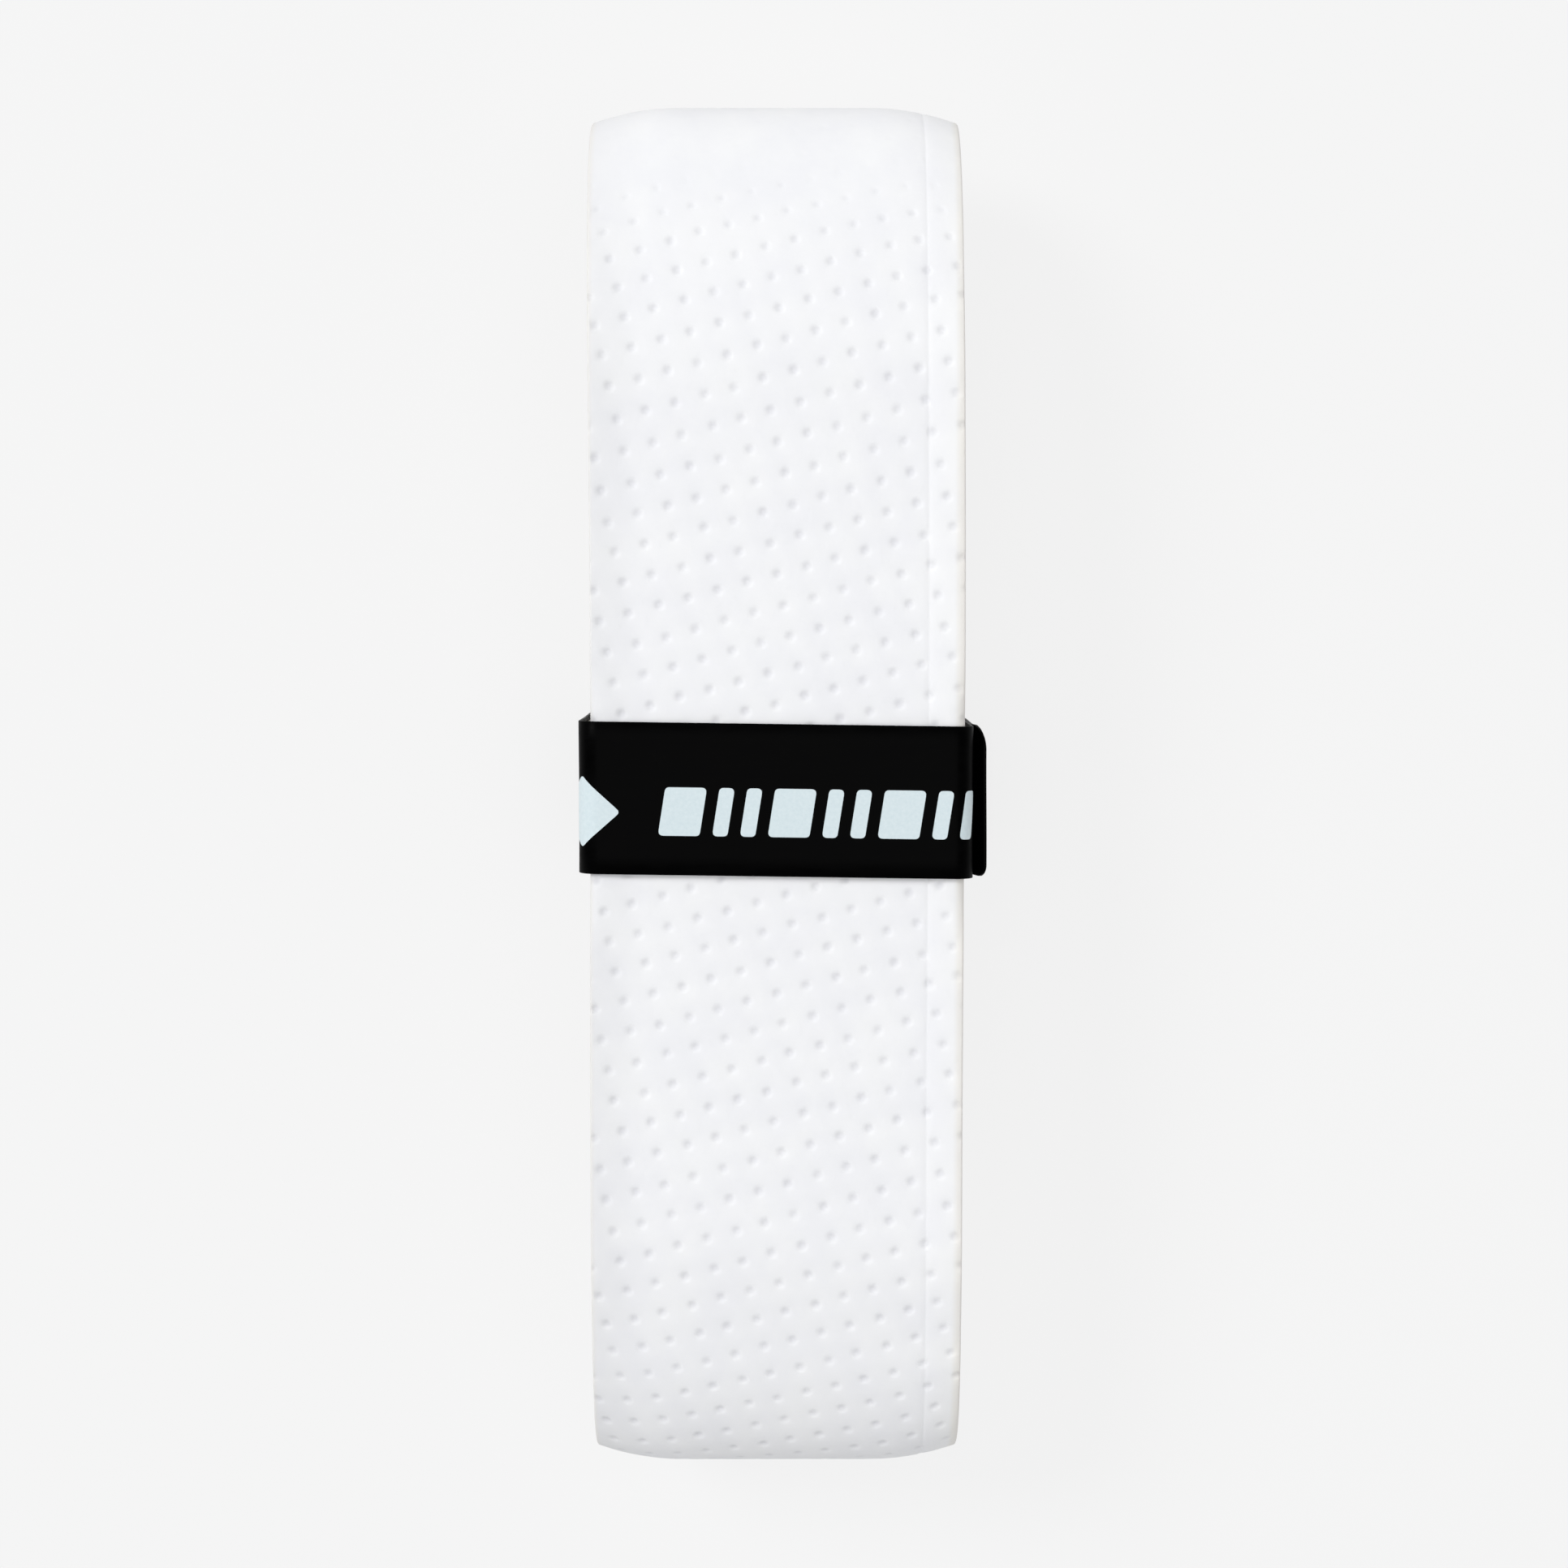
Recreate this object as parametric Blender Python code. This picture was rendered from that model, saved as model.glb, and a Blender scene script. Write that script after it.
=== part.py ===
"""A cushioned grip for a racket handle, wound flat for sale and held by its finishing tape.

One long strip is wound round itself into a flat oval, skin outwards. The strip is a laminate: a white skin,
a cushion with skived edges, a strip of adhesive down its back, and the liner that covers the adhesive. The
black finishing tape goes once round the middle on its own paper liner. Its outer end sticks to itself on the
right-hand side, and has begun to curl off there.

Frame: X across the strip, Y along the roll, Z up through its thickness. The roll lies on its finishing tape,
with the origin under its middle at the base. Sizes are in millimetres and become metres in to_metres().
"""

import math

import bmesh
import bpy
from mathutils import Vector

# The strip
STRIP_LENGTH = 1050.0
STRIP_WIDTH = 27.0
SKIN_THICKNESS = 0.50
CUSHION_THICKNESS = 1.03
ADHESIVE_THICKNESS = 0.10
LINER_THICKNESS = 0.07
BOND_GAP = 0.03  # between faces that are glued or lie together
SKIVE_WIDTH = 2.7  # how far in from each edge the cushion is thinned
SKIVED_EDGE = 0.25  # what is left of the cushion at the edge
ADHESIVE_WIDTH = 12.0
LINER_WIDTH = 14.0
PULL_TAB = 5.0  # the liner reaches this far past the strip's outer end

# The winding
ROLL_LENGTH = 101.5
TURNS = 5  # whole turns; the outer end then goes on underneath
CORE_GAP = 0.70  # the slot between the first two layers
TURN_GAP = 0.06
TAIL_Y = -26.0  # where the strip's outer end lies, underneath
NOSE_FACETS = 12  # in each half turn round an end
SQUEEZE = 0.18  # share of the thickness lost at the two ends, where the layers are bent tight
SQUEEZE_FROM = 31.0
SQUEEZE_TO = 46.0
SQUEEZE_STATIONS = 4

# The finishing tape
TAPE_WIDTH = 11.0
TAPE_THICKNESS = 0.20
TAPE_LINER_THICKNESS = 0.10
TAPE_FACE_CLEARANCE = 0.10  # to the roll's two faces
TAPE_SIDE_CLEARANCE = 0.42  # to the strip's edges, which the tape spans loosely
TAPE_CORNER = 0.6  # inner radius of the liner at the four corners
CORNER_FACETS = 4
TAPE_START_ABOVE_BASE = 3.0  # inner end, on the right-hand side
TAPE_END_BELOW_TOP = 1.6  # outer end, on the right-hand side
CURL_LENGTH = 3.0  # of the outer end, which stands off by CURL_LIFT at its tip
CURL_LIFT = 0.5

# Worked out from the above
LINER_BASE = 0.0
ADHESIVE_BASE = LINER_BASE + LINER_THICKNESS + BOND_GAP
CUSHION_BASE = ADHESIVE_BASE + ADHESIVE_THICKNESS + BOND_GAP
SKIN_BASE = CUSHION_BASE + CUSHION_THICKNESS + BOND_GAP
STRIP_THICKNESS = SKIN_BASE + SKIN_THICKNESS
PITCH = STRIP_THICKNESS + TURN_GAP
FIRST_HEIGHT = (CORE_GAP - PITCH) / 2  # of the strip's inner face from the middle, on the first run
LAST_HEIGHT = FIRST_HEIGHT + TURNS * PITCH
ROLL_HALF_HEIGHT = LAST_HEIGHT + STRIP_THICKNESS
NOSE_Y = (ROLL_LENGTH + PITCH / 2) / 2 - ROLL_HALF_HEIGHT  # centres of the two ends
TAPE_STACK = TAPE_THICKNESS + BOND_GAP + TAPE_LINER_THICKNESS
ROLL_MIDDLE_Z = TAPE_STACK + TAPE_FACE_CLEARANCE + ROLL_HALF_HEIGHT
ROLL_MIDDLE_Y = -PITCH / 4  # the end at +Y is half a layer fuller than the one at -Y
TAPE_HALF_WIDTH = STRIP_WIDTH / 2 + TAPE_SIDE_CLEARANCE
TAPE_HALF_HEIGHT = ROLL_HALF_HEIGHT + TAPE_FACE_CLEARANCE
CORNER_X = TAPE_HALF_WIDTH - TAPE_CORNER
CORNER_Z = TAPE_HALF_HEIGHT - TAPE_CORNER
SEAM_STEP = TAPE_THICKNESS + BOND_GAP  # the outer end stands this much further out at +X
ROLL_MIDDLE_X = -(SEAM_STEP + CURL_LIFT) / 2


def to_metres(x, y, z):
    return Vector((x, y, z)) * 0.001


def material(name, colour, roughness):
    """A plain Principled material."""
    made = bpy.data.materials.new(name)
    made.use_nodes = True
    shader = made.node_tree.nodes["Principled BSDF"]
    shader.inputs["Base Color"].default_value = (*colour, 1.0)
    shader.inputs["Roughness"].default_value = roughness
    shader.inputs["Metallic"].default_value = 0.0
    return made


def smooth_step(value):
    t = min(1.0, max(0.0, value))
    return t * t * (3 - 2 * t)


def squeezed(y, z):
    """The layers are pressed thinner towards the two ends."""
    share = smooth_step((abs(y) - SQUEEZE_FROM) / (SQUEEZE_TO - SQUEEZE_FROM))
    return z * (1 - SQUEEZE * share)


def flat_stations():
    """The Y of each station along a straight run, from one end to the other, closer where the squeeze works."""
    step = (NOSE_Y - SQUEEZE_FROM) / SQUEEZE_STATIONS
    half = [SQUEEZE_FROM + k * step for k in range(SQUEEZE_STATIONS + 1)]
    return [-y for y in reversed(half)] + half


def nose(centre_y, centre_z, radius, from_degrees):
    """Stations inside a half turn round one end, clockwise looking along -X."""
    stations = []
    for k in range(1, NOSE_FACETS):
        angle = math.radians(from_degrees - 180 * k / NOSE_FACETS)
        ny, nz = math.cos(angle), math.sin(angle)
        stations.append((centre_y + radius * ny, centre_z + radius * nz, ny, nz))
    return stations


def winding():
    """Stations (y, z, normal y, normal z) of the strip's inner face, from the core to the outer end.

    Each turn runs underneath towards -Y, round that end, back over the top and round the end at +Y. The end at
    -Y is centred half a pitch higher, so that every turn lies exactly one pitch outside the last.
    """
    straight = flat_stations()
    stations = []
    for turn in range(TURNS):
        below = FIRST_HEIGHT + turn * PITCH
        above = below + PITCH
        stations += [(y, -below, 0.0, -1.0) for y in reversed(straight)]
        stations += nose(-NOSE_Y, PITCH / 2, below + PITCH / 2, -90)
        stations += [(y, above, 0.0, 1.0) for y in straight]
        stations += nose(NOSE_Y, 0.0, above, 90)
    last_run = [y for y in reversed(straight) if y > TAIL_Y] + [TAIL_Y]
    return stations + [(y, -LAST_HEIGHT, 0.0, -1.0) for y in last_run]


def length_of(stations):
    """Length along the middle of the strip's thickness."""
    middle = [
        Vector((y + ny * STRIP_THICKNESS / 2, z + nz * STRIP_THICKNESS / 2))
        for y, z, ny, nz in stations
    ]
    return sum((b - a).length for a, b in zip(middle, middle[1:]))


def cut_to_length(stations):
    """Starts the first run, at the core, where it gives the strip its real length."""
    spare = length_of(stations) - STRIP_LENGTH
    start_y, z, ny, nz = stations[0]
    start_y -= spare
    dropped = len([y for y in flat_stations() if y >= start_y])
    return [(start_y, z, ny, nz)] + stations[dropped:]


def placed(station, x, height):
    """A point of the strip, at x across it and height above its inner face, in the roll's frame."""
    y, z, ny, nz = station
    y += ny * height
    z += nz * height
    return to_metres(ROLL_MIDDLE_X + x, ROLL_MIDDLE_Y + y, ROLL_MIDDLE_Z + squeezed(y, z))


def lofted(name, rings, finish):
    """A closed solid through rings of matching points, as one object."""
    shape = bmesh.new()
    loops = [[shape.verts.new(point) for point in ring] for ring in rings]
    for near, far in zip(loops, loops[1:]):
        for k in range(len(near)):
            shape.faces.new((near[k - 1], near[k], far[k], far[k - 1]))
    shape.faces.new(loops[0])
    shape.faces.new(loops[-1])
    bmesh.ops.recalc_face_normals(shape, faces=shape.faces)
    mesh = bpy.data.meshes.new(name)
    shape.to_mesh(mesh)
    shape.free()
    mesh.materials.append(finish)
    mesh.shade_smooth()
    mesh.set_sharp_from_angle(angle=math.radians(35))
    made = bpy.data.objects.new(name, mesh)
    bpy.context.scene.collection.objects.link(made)
    return made


def strip_layer(name, stations, section, finish):
    """One layer of the strip. section is its cross-section, as (x, height above the strip's inner face)."""
    return lofted(name, [[placed(s, x, height) for x, height in section] for s in stations], finish)


def flat_section(width, base, thickness):
    half = width / 2
    return [(-half, base), (half, base), (half, base + thickness), (-half, base + thickness)]


def skived_section():
    """The cushion's cross-section: its back is thinned towards both edges."""
    edge = STRIP_WIDTH / 2
    flat = edge - SKIVE_WIDTH
    top = CUSHION_BASE + CUSHION_THICKNESS
    low = top - SKIVED_EDGE
    return [(-flat, CUSHION_BASE), (flat, CUSHION_BASE), (edge, low), (edge, top), (-edge, top), (-edge, low)]


def corner(centre_x, centre_z, from_degrees, growth=0.0):
    """Stations round a quarter circle, anticlockwise in X and Z, its radius growing by growth on the way."""
    stations = []
    for k in range(CORNER_FACETS + 1):
        share = k / CORNER_FACETS
        angle = math.radians(from_degrees + 90 * share)
        nx, nz = math.cos(angle), math.sin(angle)
        radius = TAPE_CORNER + growth * share
        stations.append((centre_x + radius * nx, centre_z + radius * nz, nx, nz))
    return stations


def liner_path():
    """Stations (x, z, normal x, normal z) of the tape liner's inner face, round the roll.

    It starts low on the right-hand side, goes up and over the top, down the left and back underneath.
    """
    start = (TAPE_HALF_WIDTH, TAPE_START_ABOVE_BASE - TAPE_HALF_HEIGHT, 1.0, 0.0)
    turned = corner(CORNER_X, CORNER_Z, 0) + corner(-CORNER_X, CORNER_Z, 90) + corner(-CORNER_X, -CORNER_Z, 180)
    return [start] + turned + [(CORNER_X, -TAPE_HALF_HEIGHT, 0.0, -1.0)]


def tape_path():
    """The liner's path carried on up the right-hand side again, one step out, over the tape's own start."""
    outer = TAPE_HALF_WIDTH + SEAM_STEP
    top = TAPE_HALF_HEIGHT - TAPE_END_BELOW_TOP
    curl = [(outer, top - CURL_LENGTH, 1.0, 0.0), (outer + CURL_LIFT, top, 1.0, 0.0)]
    return liner_path()[:-1] + corner(CORNER_X, -CORNER_Z, 270, SEAM_STEP) + curl


def tape_layer(name, path, base, thickness, finish):
    """A layer of the finishing tape, base above the liner's inner face, across the middle of the roll."""
    half = TAPE_WIDTH / 2
    rings = []
    for x, z, nx, nz in path:
        rings.append(
            [
                to_metres(ROLL_MIDDLE_X + x + nx * height, y, ROLL_MIDDLE_Z + z + nz * height)
                for y, height in (
                    (-half, base),
                    (half, base),
                    (half, base + thickness),
                    (-half, base + thickness),
                )
            ]
        )
    return lofted(name, rings, finish)


def clear_scene():
    for old in list(bpy.data.objects):
        bpy.data.objects.remove(old)


def main():
    clear_scene()
    white_skin = material("white_skin", (0.90, 0.91, 0.93), 0.55)
    cushion_foam = material("cushion_foam", (0.82, 0.81, 0.77), 0.9)
    adhesive = material("adhesive", (0.78, 0.74, 0.62), 0.35)
    liner_paper = material("liner_paper", (0.86, 0.85, 0.80), 0.7)
    black_tape = material("black_tape", (0.006, 0.006, 0.007), 0.5)

    stations = cut_to_length(winding())
    strip_layer("grip_skin", stations, flat_section(STRIP_WIDTH, SKIN_BASE, SKIN_THICKNESS), white_skin)
    strip_layer("grip_cushion", stations, skived_section(), cushion_foam)
    strip_layer(
        "adhesive_strip", stations, flat_section(ADHESIVE_WIDTH, ADHESIVE_BASE, ADHESIVE_THICKNESS), adhesive
    )
    tab = [(TAIL_Y - PULL_TAB, -LAST_HEIGHT, 0.0, -1.0)]
    strip_layer(
        "release_liner", stations + tab, flat_section(LINER_WIDTH, LINER_BASE, LINER_THICKNESS), liner_paper
    )

    tape_base = TAPE_LINER_THICKNESS + BOND_GAP
    tape_layer("finishing_tape", tape_path(), tape_base, TAPE_THICKNESS, black_tape)
    tape_layer("finishing_tape_liner", liner_path(), 0.0, TAPE_LINER_THICKNESS, liner_paper)


main()
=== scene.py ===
"""The looks of a cushioned racket grip, wound into a flat roll under its black finishing tape.

Sizes are in millimetres in the row frame, and become metres in shown(). The strip is shaped flat first,
as x across it, s along it and h above its outer face, and on_roll() then winds it up. The finishing tape
is shaped the same way, and on_tape() bends it round the roll.
"""

import math

import bmesh
import bpy
import numpy as np
from mathutils import Matrix, Vector


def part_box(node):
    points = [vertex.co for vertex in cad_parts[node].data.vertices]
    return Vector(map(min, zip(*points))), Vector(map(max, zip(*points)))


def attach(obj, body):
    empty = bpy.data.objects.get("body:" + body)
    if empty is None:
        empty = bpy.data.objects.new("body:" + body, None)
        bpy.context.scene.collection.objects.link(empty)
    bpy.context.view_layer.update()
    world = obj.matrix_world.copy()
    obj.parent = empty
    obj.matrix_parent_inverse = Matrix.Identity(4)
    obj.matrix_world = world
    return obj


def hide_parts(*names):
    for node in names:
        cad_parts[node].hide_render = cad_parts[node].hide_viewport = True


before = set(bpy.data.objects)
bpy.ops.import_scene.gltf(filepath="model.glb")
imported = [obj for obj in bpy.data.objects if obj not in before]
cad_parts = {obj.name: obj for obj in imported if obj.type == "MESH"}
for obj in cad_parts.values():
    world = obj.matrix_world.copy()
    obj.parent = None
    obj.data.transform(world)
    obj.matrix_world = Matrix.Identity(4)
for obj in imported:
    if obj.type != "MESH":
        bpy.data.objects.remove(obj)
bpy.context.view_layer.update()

MM = 0.001
SHARP_ANGLE = math.radians(50)  # edges that turn by more than this are drawn sharp
CUT_SLACK = 0.0005  # a cut that comes closer to a vertex than this goes through it
WELD = 0.001  # vertices closer together than this become one

# The strip's layers
SKIN_THICKNESS = 0.50
CUSHION_THICKNESS = 1.03
ADHESIVE_THICKNESS = 0.10
LINER_THICKNESS = 0.07
BOND_GAP = 0.03
TURN_GAP = 0.06
LAYERS_THICKNESS = SKIN_THICKNESS + CUSHION_THICKNESS + ADHESIVE_THICKNESS + LINER_THICKNESS
STRIP_THICKNESS = LAYERS_THICKNESS + 3 * BOND_GAP
PITCH = STRIP_THICKNESS + TURN_GAP
SKIN_EDGE_ROUND = 0.14
SKIN_EDGE_STEPS = (0.0, 30.0, 60.0, 90.0)  # degrees round it
SKIVE_WIDTH = 2.7
SKIVED_EDGE = 0.25
CUSHION_WORN = 0.06  # how far the cushion's corners are worn back
SKIVE_WORN_IN = 0.15  # how far to either side the corner where the skive begins is worn
SKIVE_WORN_OUT = 0.35
PULL_TAB = 5.0
TAB_CORNER = 2.0
TAB_DROOP = 0.35

# The winding, from the solids
SKIN_LOW, SKIN_HIGH = (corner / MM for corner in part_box("grip_skin"))
STRIP_WIDTH = SKIN_HIGH.x - SKIN_LOW.x
HALF_WIDTH = STRIP_WIDTH / 2
ROLL_LENGTH = SKIN_HIGH.y - SKIN_LOW.y
HALF_HEIGHT = (SKIN_HIGH.z - SKIN_LOW.z) / 2
TURNS = 5
FIRST_HEIGHT = HALF_HEIGHT - STRIP_THICKNESS - TURNS * PITCH
LAST_HEIGHT = FIRST_HEIGHT + TURNS * PITCH
NOSE_Y = (ROLL_LENGTH + PITCH / 2) / 2 - HALF_HEIGHT
MIDDLE = np.array([(SKIN_LOW.x + SKIN_HIGH.x) / 2, -PITCH / 4, (SKIN_LOW.z + SKIN_HIGH.z) / 2])
START_Y = 39.65  # the strip's inner end, in the core
TAIL_Y = -26.0  # its outer end, underneath

# How the soft strip gives
SQUEEZE = 0.18  # share of the thickness lost at the two ends
SQUEEZE_FROM = 31.0
SQUEEZE_TO = 46.0
SLIPS = ((0.10, 29.0, 1.2), (0.05, 11.3, 0.0))  # sideways waves: height, length over 2 pi, phase
CROWN = 1.15  # the edges fall short of the middle by this much at the two ends
CROWN_FLAT = 7.0
CROWN_FROM = 30.0
MARGIN_X = HALF_WIDTH - SKIVE_WIDTH  # where the skived margins begin
CREASE_X = MARGIN_X + 0.1
CREASE_HALF_WIDTH = 0.15
CREASE_DEPTH = 0.045
CUPPED = 0.20  # how far the flat faces between the margins lie below the edges
INNER_COLUMN = 9.0  # more places across the strip where its mesh has a row of vertices
OUTER_COLUMN = 12.2
PRESSED = 0.38  # the finishing tape's corners press the strip's edges in by this much
PRESSED_WIDTH = 0.8
PRESSED_UNDER = 5.8
PRESSED_UNTIL = 11.0

# The dimples
DIMPLE_ROW = np.array([2.117, 0.567])
DIMPLE_COLUMN = np.array([-0.493, 2.197])
DIMPLE_ORIGIN = (0.6, 23.37)  # of one dimple, on the upper face
DIMPLE_DEPTH = 0.145
DIMPLE_RADIUS = 0.36
DIMPLE_PROFILE = 2.5  # 2 is a bell, and more has a flatter floor and a sharper rim
DIMPLE_RINGS = (0.16, 0.30, 0.44, 0.60)
DIMPLE_SHARES = (0.88, 1.12)  # how deep the shallowest and the deepest are, as shares of the depth
DIMPLE_SCATTER = 0.035
DIMPLED_BEFORE = 8.0  # the dimples begin this far before the strip's outermost turn
STRETCHED_FROM = 38.5  # past here, towards the +Y end, the skin is drawn tight and its dimples fade
STRETCHED_TO = 48.5
STRETCHED_FADE = 0.8
DRAWN_OUT = 0.42  # winding the strip drew its skin this far towards the ends of the roll
DRAWN_FROM = 20.0
DRAWN_TO = 38.0
DRAWN_BACK_FROM = 40.0
DRAWN_BACK_TO = 47.0

# The finishing tape
TAPE_THICKNESS = 0.20
TAPE_LINER_THICKNESS = 0.10
TAPE_STACK = TAPE_THICKNESS + BOND_GAP + TAPE_LINER_THICKNESS
TAPE_LOW, TAPE_HIGH = (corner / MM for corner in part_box("finishing_tape"))
TAPE_WIDTH = TAPE_HIGH.y - TAPE_LOW.y
TAPE_HALF_HEIGHT = (TAPE_HIGH.z - TAPE_LOW.z) / 2 - TAPE_STACK
TAPE_HALF_WIDTH = MIDDLE[0] - TAPE_LOW.x - TAPE_STACK
SEAM_STEP = TAPE_THICKNESS + BOND_GAP
TAPE_CORNER = 1.15
TAPE_START_ABOVE_BASE = 3.0
TAPE_END_BELOW_TOP = 1.6
TAPE_CORNER_STEPS = 12
CURL_LENGTH = 3.0
CURL_STATIONS = 9
CURL_EXTRA = 0.3  # the end lifts a little further than its plain solid does
CURL_LIFT = TAPE_HIGH.x - MIDDLE[0] - TAPE_HALF_WIDTH - SEAM_STEP - TAPE_STACK + CURL_EXTRA
TAPE_END_ROUND_HIGH = 1.8
TAPE_END_ROUND_LOW = 0.9
TAPE_COLUMNS = 9  # vertices across each of its faces
TAPE_BEVEL = 0.03
TAPE_SLACK = 0.035  # how high the waves beside the roll are
TAPE_WAVES = (3.1, 2.3, 9.0)  # and how long, over 2 pi: along the tape, across it, and aslant
TAPE_LINER_INSET = 0.35
TAPE_LINER_BEVEL = 0.02
TAPE_SKEW = math.radians(0.8)
PRINT_THICKNESS = 0.015
PRINT_LIFT = 0.004
PRINT_STEP = 0.8

# The camera and the stage
CAMERA_DISTANCE = 224.3
CAMERA_LEAN = math.radians(4)
CAMERA_LENS = 71.5
CAMERA_SENSOR = 36.0
CAMERA_AIM = (0.58, 1.16)
FLOOR_SIZE = 8000.0
FLOOR_GLOW = 0.805
HORIZON = 0.62  # how bright the room is low down, where it meets the floor
ROOM = 0.30  # and above


def smooth_step(value):
    """0 up to 0, 1 from 1 on, and a smooth rise between."""
    t = np.clip(value, 0.0, 1.0)
    return t * t * (3 - 2 * t)


def shown(name, mesh, finish, body, nodes=()):
    """A finished mesh in millimetres becomes a piece in metres, riding on its body."""
    move_to(mesh, coordinates(mesh) * MM)
    mesh.update()
    mesh.materials.append(finish)
    mesh.shade_smooth()
    mesh.set_sharp_from_angle(angle=SHARP_ANGLE)
    piece = bpy.data.objects.new(name, mesh)
    bpy.context.scene.collection.objects.link(piece)
    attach(piece, body)
    if nodes:
        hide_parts(*nodes)
    return piece


def coordinates(mesh):
    """The mesh's vertices as rows."""
    co = np.zeros(len(mesh.vertices) * 3, np.float32)
    mesh.vertices.foreach_get("co", co)
    return co.reshape(-1, 3).astype(float)


def move_to(mesh, co):
    """Moves the mesh's vertices to these rows."""
    mesh.vertices.foreach_set("co", co.astype(np.float32).ravel())


def mesh_of(name, shape):
    """The shape as a mesh with its faces turned outwards."""
    bmesh.ops.recalc_face_normals(shape, faces=shape.faces)
    mesh = bpy.data.meshes.new(name)
    shape.to_mesh(mesh)
    shape.free()
    return mesh


def zip_rows(shape, one, other, place):
    """Fills between two rows of vertices with triangles. place(vertex) is how far along them it lies."""
    one = sorted(one, key=place)
    other = sorted(other, key=place)
    i = j = 0
    while i + 1 < len(one) or j + 1 < len(other):
        along_one = j + 1 == len(other) or (
            i + 1 < len(one) and place(one[i + 1]) <= place(other[j + 1])
        )
        if along_one:
            shape.faces.new((one[i], one[i + 1], other[j]))
            i += 1
        else:
            shape.faces.new((one[i], other[j + 1], other[j]))
            j += 1


def loft(shape, loops):
    """Joins closed loops of vertices into one solid, with both its ends closed."""
    for near, far in zip(loops, loops[1:]):
        for k in range(len(near)):
            shape.faces.new((near[k - 1], near[k], far[k], far[k - 1]))
    shape.faces.new(loops[0])
    shape.faces.new(loops[-1])


def cut_back(to_end, radius):
    """How far a rounded corner takes an edge back, this far before the end."""
    cut = max(0.0, radius - to_end)
    return radius - math.sqrt(max(0.0, radius**2 - cut**2))


def corner_places(end, radius, steps):
    """Places over such a corner, from its start to just before the end, closer together towards it."""
    turned = [math.radians(90 * k / steps) for k in range(steps)]
    return [end - radius * (1 - math.sin(angle)) for angle in turned]


# ---------------------------------------------------------------- the winding


def nose(centre_y, centre_z, radius, from_degrees, steps):
    """Stations of the half circle round one end of the roll, without its first and last."""
    angle = np.radians(from_degrees - 180 * np.arange(1, steps) / steps)
    ny, nz = np.cos(angle), np.sin(angle)
    return np.stack([centre_y + radius * ny, centre_z + radius * nz, ny, nz], 1)


def flat_run(from_y, to_y, z, nz, step):
    """Stations of one straight run of the strip."""
    count = max(2, int(abs(to_y - from_y) / step) + 1)
    y = np.linspace(from_y, to_y, count)
    return np.stack([y, np.full(count, z), np.zeros(count), np.full(count, nz)], 1)


def winding(nose_steps, flat_step):
    """Stations (y, z, normal y, normal z) of the strip's inner face, from the core to the tab's tip."""
    runs = []
    for turn in range(TURNS):
        below = FIRST_HEIGHT + turn * PITCH
        above = below + PITCH
        from_y = START_Y if turn == 0 else NOSE_Y
        runs.append(flat_run(from_y, -NOSE_Y, -below, -1.0, flat_step))
        runs.append(nose(-NOSE_Y, PITCH / 2, below + PITCH / 2, -90, nose_steps))
        runs.append(flat_run(-NOSE_Y, NOSE_Y, above, 1.0, flat_step))
        runs.append(nose(NOSE_Y, 0.0, above, 90, nose_steps))
    runs.append(flat_run(NOSE_Y, TAIL_Y - PULL_TAB, -LAST_HEIGHT, -1.0, flat_step))
    return np.concatenate(runs)


def squeezed(y, z):
    """Heights from the middle plane, once the roll's ends are pressed thinner."""
    return z * (1 - SQUEEZE * smooth_step((np.abs(y) - SQUEEZE_FROM) / (SQUEEZE_TO - SQUEEZE_FROM)))


def lengths_along(stations):
    """How far along the strip each station lies, on its outer face."""
    y = stations[:, 0] + stations[:, 2] * STRIP_THICKNESS
    z = squeezed(y, stations[:, 1] + stations[:, 3] * STRIP_THICKNESS)
    return np.concatenate([[0.0], np.cumsum(np.hypot(np.diff(y), np.diff(z)))])


PATH = winding(nose_steps=180, flat_step=1.0)
PATH_S = lengths_along(PATH)
TIP_S = PATH_S[-1]
END_S = TIP_S - PULL_TAB


def place_at(y, height, side):
    """How far along the strip its run at this height, over (1) or under (-1) the core, passes y."""
    run = np.isclose(PATH[:, 1], side * height) & (PATH[:, 3] == side)
    return np.interp(side * y, side * PATH[run, 0], PATH_S[run])


def strip_relief(x, y):
    """How far the strip's faces lie below its full height: cupped, creased, and pressed by the tape."""
    flat = 1 - smooth_step((np.abs(y) - SQUEEZE_FROM) / (NOSE_Y - SQUEEZE_FROM))
    cupped = CUPPED * flat * (1 - np.clip((np.abs(x) - MARGIN_X) / SKIVE_WIDTH, 0, 1))
    groove = CREASE_DEPTH * np.exp(-(((x - CREASE_X) / CREASE_HALF_WIDTH) ** 2))
    taped = 1 - smooth_step((np.abs(y) - PRESSED_UNDER) / (PRESSED_UNTIL - PRESSED_UNDER))
    pressed = PRESSED * taped * np.clip((np.abs(x) - HALF_WIDTH) / PRESSED_WIDTH + 1, 0, 1) ** 2
    return cupped + groove + pressed


def strip_wander(s):
    """How far the strip has slipped sideways as it was wound."""
    return sum(height * np.sin(s / length + phase) for height, length, phase in SLIPS)


def on_roll(flat):
    """Winds up points of the flat strip, given as rows of (x, s, h)."""
    x, s, h = flat.T
    y, z, ny, nz = (np.interp(s, PATH_S, column) for column in PATH.T)
    size = np.hypot(ny, nz)
    out = STRIP_THICKNESS + h - strip_relief(x, y)
    y = y + out * ny / size
    z = z + out * nz / size
    z = squeezed(y, z)
    pulled_in = CROWN * np.clip((np.abs(x) - CROWN_FLAT) / (HALF_WIDTH - CROWN_FLAT), 0, 1) ** 2
    near_end = smooth_step((np.abs(y) - CROWN_FROM) / (ROLL_LENGTH / 2 - CROWN_FROM))
    y = y - np.sign(y) * pulled_in * near_end
    return np.stack([x + strip_wander(s), y, z], 1) + MIDDLE


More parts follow.
